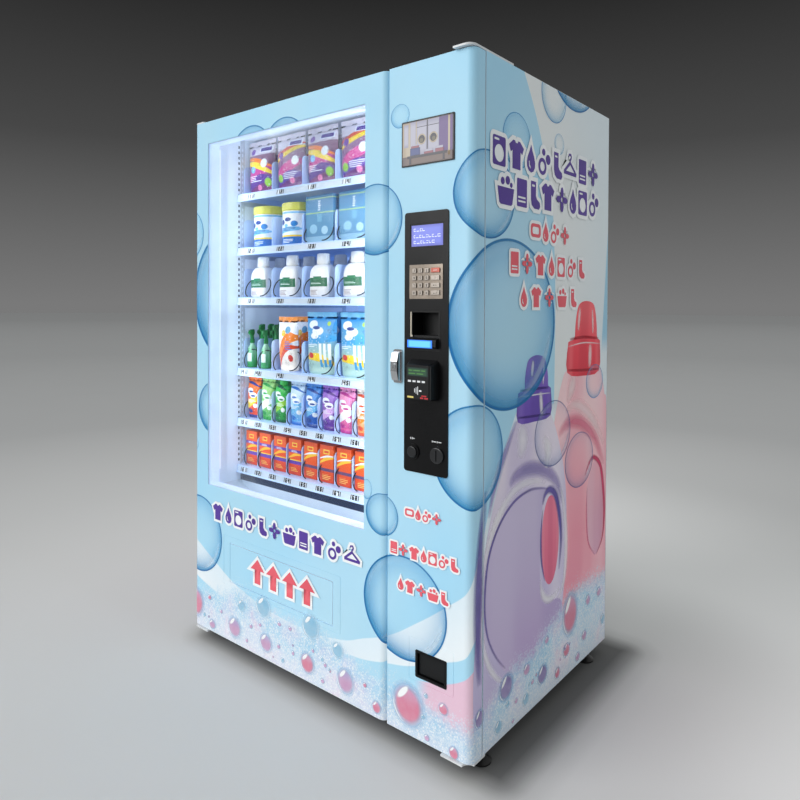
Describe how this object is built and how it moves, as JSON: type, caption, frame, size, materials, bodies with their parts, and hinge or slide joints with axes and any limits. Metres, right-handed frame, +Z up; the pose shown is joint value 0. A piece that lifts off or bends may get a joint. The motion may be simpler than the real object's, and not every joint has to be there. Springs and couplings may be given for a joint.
{
  "type": "vending machine",
  "caption": "Upright glass-front vending machine with spiral trays, a separate control door, a push-in delivery flap and levelling feet.",
  "frame": {"origin": "on the floor under the centre of the machine's bounding box", "axes": "+Z up, -Y out of the front towards the customer, +X to the customer's right"},
  "size_m": [1.185, 0.87, 1.835],
  "materials": {
    "cabinet_paint": "printed vinyl wrap on painted steel",
    "door_paint": "printed vinyl wrap on painted steel",
    "liner_paint": "satin powder coat",
    "tray_paint": "satin powder coat",
    "galvanised": "galvanised sheet",
    "foot_steel": "zinc plated",
    "hinge_paint": "satin paint",
    "dark_steel": "black coat",
    "glass": "clear",
    "black_rubber": "matt",
    "lamp_white": "opal",
    "black_plastic": "fine grain",
    "display_screen": "gloss",
    "keypad_metal": "brushed",
    "key_metal": "satin",
    "chrome": "polished",
    "button_plastic": "gloss",
    "wire_black": "black coated wire"
  },
  "bodies": {
    "base": {"cabinet_shell": "cabinet_paint", "rear_panel": "galvanised", "inner_liner": "liner_paint", "tray_rails": "galvanised", "base_frame": "galvanised", "leveling_feet": "foot_steel", "door_hinges": "hinge_paint", "delivery_hopper": "liner_paint", "power_supply": "dark_steel"},
    "window_door": {"window_door_skin": "door_paint", "window_door_liner": "liner_paint", "window_glass": "glass", "window_gasket": "black_rubber", "led_strips": "lamp_white"},
    "flap": {"delivery_flap": "door_paint"},
    "control_door": {"control_door_skin": "door_paint", "control_door_liner": "liner_paint", "control_fascia": "black_plastic", "display_module": "display_screen", "keypad_plate": "keypad_metal", "bill_acceptor": "black_plastic", "card_reader": "black_plastic", "coin_entry": "chrome", "coin_cup": "black_plastic", "coin_mechanism": "dark_steel", "lock_housing": "chrome", "picture_screen": "display_screen"},
    "return_button": {"coin_return_button": "button_plastic"},
    "cup_flap": {"coin_flap": "black_plastic"},
    "handle": {"lock_handle": "chrome"},
    "tray_a_body": {"tray_a": "tray_paint", "coils_a": "wire_black"},
    "tray_b_body": {"tray_b": "tray_paint", "coils_b": "wire_black"},
    "tray_c_body": {"tray_c": "tray_paint", "coils_c": "wire_black"},
    "tray_d_body": {"tray_d": "tray_paint", "coils_d": "wire_black"},
    "tray_e_body": {"tray_e": "tray_paint", "coils_e": "wire_black"},
    "tray_f_body": {"tray_f": "tray_paint", "coils_f": "wire_black"},
    "spiral_left": {"coil_c1_left": "wire_black"},
    "spiral_right": {"coil_c1_right": "wire_black"},
    "key_0_body": {"key_0": "key_metal"},
    "key_1_body": {"key_1": "key_metal"},
    "key_2_body": {"key_2": "key_metal"},
    "key_3_body": {"key_3": "key_metal"},
    "key_4_body": {"key_4": "key_metal"},
    "key_5_body": {"key_5": "key_metal"},
    "key_6_body": {"key_6": "key_metal"},
    "key_7_body": {"key_7": "key_metal"},
    "key_8_body": {"key_8": "key_metal"},
    "key_9_body": {"key_9": "key_metal"},
    "key_back_body": {"key_back": "key_metal"},
    "key_clear_body": {"key_clear": "key_metal"},
    "key_enter_body": {"key_enter": "key_metal"},
    "key_hash_body": {"key_hash": "key_metal"},
    "key_info_body": {"key_info": "key_metal"},
    "key_star_body": {"key_star": "key_metal"}
  },
  "joints": [
    {"name": "window_door_swing", "type": "hinge", "parent": "base", "child": "window_door", "pos_m": [-0.5805, -0.391, 0.9], "axis": [0, 0, -1], "range_deg": [0, 110]},
    {"name": "control_door_swing", "type": "hinge", "parent": "base", "child": "control_door", "pos_m": [0.5805, -0.391, 0.9], "axis": [0, 0, 1], "range_deg": [0, 110]},
    {"name": "delivery_flap_push", "type": "hinge", "parent": "window_door", "child": "flap", "pos_m": [-0.138, -0.394, 0.366], "axis": [1, 0, 0], "range_deg": [0, 60]},
    {"name": "lock_handle_turn", "type": "hinge", "parent": "control_door", "child": "handle", "pos_m": [0.35525, -0.4075, 1.027], "axis": [0, -1, 0], "range_deg": [0, 90]},
    {"name": "coin_flap_push", "type": "hinge", "parent": "control_door", "child": "cup_flap", "pos_m": [0.468, -0.395, 0.27], "axis": [1, 0, 0], "range_deg": [0, 60]},
    {"name": "coin_return_press", "type": "slide", "parent": "control_door", "child": "return_button", "axis": [0, 1, 0], "range_m": [0, 0.004], "stiffness_N_per_m": 400},
    {"name": "spiral_c1_right_turn", "type": "hinge", "parent": "tray_c_body", "child": "spiral_right", "pos_m": [-0.409, -0.003, 1.2515], "axis": [0, 1, 0], "continuous": true},
    {"name": "spiral_c1_left_turn", "type": "hinge", "parent": "tray_c_body", "child": "spiral_left", "pos_m": [-0.482, -0.003, 1.2515], "axis": [0, 1, 0], "continuous": true},
    {"name": "tray_a_slide", "type": "slide", "parent": "base", "child": "tray_a_body", "axis": [0, -1, 0], "range_m": [0, 0.07]},
    {"name": "tray_b_slide", "type": "slide", "parent": "base", "child": "tray_b_body", "axis": [0, -1, 0], "range_m": [0, 0.07]},
    {"name": "tray_c_slide", "type": "slide", "parent": "base", "child": "tray_c_body", "axis": [0, -1, 0], "range_m": [0, 0.07]},
    {"name": "tray_d_slide", "type": "slide", "parent": "base", "child": "tray_d_body", "axis": [0, -1, 0], "range_m": [0, 0.07]},
    {"name": "tray_e_slide", "type": "slide", "parent": "base", "child": "tray_e_body", "axis": [0, -1, 0], "range_m": [0, 0.07]},
    {"name": "tray_f_slide", "type": "slide", "parent": "base", "child": "tray_f_body", "axis": [0, -1, 0], "range_m": [0, 0.07]},
    {"name": "key_0_press", "type": "slide", "parent": "control_door", "child": "key_0_body", "axis": [0, 1, 0], "range_m": [0, 0.0015], "stiffness_N_per_m": 300},
    {"name": "key_1_press", "type": "slide", "parent": "control_door", "child": "key_1_body", "axis": [0, 1, 0], "range_m": [0, 0.0015], "stiffness_N_per_m": 300},
    {"name": "key_2_press", "type": "slide", "parent": "control_door", "child": "key_2_body", "axis": [0, 1, 0], "range_m": [0, 0.0015], "stiffness_N_per_m": 300},
    {"name": "key_3_press", "type": "slide", "parent": "control_door", "child": "key_3_body", "axis": [0, 1, 0], "range_m": [0, 0.0015], "stiffness_N_per_m": 300},
    {"name": "key_4_press", "type": "slide", "parent": "control_door", "child": "key_4_body", "axis": [0, 1, 0], "range_m": [0, 0.0015], "stiffness_N_per_m": 300},
    {"name": "key_5_press", "type": "slide", "parent": "control_door", "child": "key_5_body", "axis": [0, 1, 0], "range_m": [0, 0.0015], "stiffness_N_per_m": 300},
    {"name": "key_6_press", "type": "slide", "parent": "control_door", "child": "key_6_body", "axis": [0, 1, 0], "range_m": [0, 0.0015], "stiffness_N_per_m": 300},
    {"name": "key_7_press", "type": "slide", "parent": "control_door", "child": "key_7_body", "axis": [0, 1, 0], "range_m": [0, 0.0015], "stiffness_N_per_m": 300},
    {"name": "key_8_press", "type": "slide", "parent": "control_door", "child": "key_8_body", "axis": [0, 1, 0], "range_m": [0, 0.0015], "stiffness_N_per_m": 300},
    {"name": "key_9_press", "type": "slide", "parent": "control_door", "child": "key_9_body", "axis": [0, 1, 0], "range_m": [0, 0.0015], "stiffness_N_per_m": 300},
    {"name": "key_back_press", "type": "slide", "parent": "control_door", "child": "key_back_body", "axis": [0, 1, 0], "range_m": [0, 0.0015], "stiffness_N_per_m": 300},
    {"name": "key_clear_press", "type": "slide", "parent": "control_door", "child": "key_clear_body", "axis": [0, 1, 0], "range_m": [0, 0.0015], "stiffness_N_per_m": 300},
    {"name": "key_enter_press", "type": "slide", "parent": "control_door", "child": "key_enter_body", "axis": [0, 1, 0], "range_m": [0, 0.0015], "stiffness_N_per_m": 300},
    {"name": "key_hash_press", "type": "slide", "parent": "control_door", "child": "key_hash_body", "axis": [0, 1, 0], "range_m": [0, 0.0015], "stiffness_N_per_m": 300},
    {"name": "key_info_press", "type": "slide", "parent": "control_door", "child": "key_info_body", "axis": [0, 1, 0], "range_m": [0, 0.0015], "stiffness_N_per_m": 300},
    {"name": "key_star_press", "type": "slide", "parent": "control_door", "child": "key_star_body", "axis": [0, 1, 0], "range_m": [0, 0.0015], "stiffness_N_per_m": 300}
  ],
  "couplings": [
    {"joint": "spiral_c1_left_turn", "follows": "spiral_c1_right_turn", "ratio": -1}
  ]
}
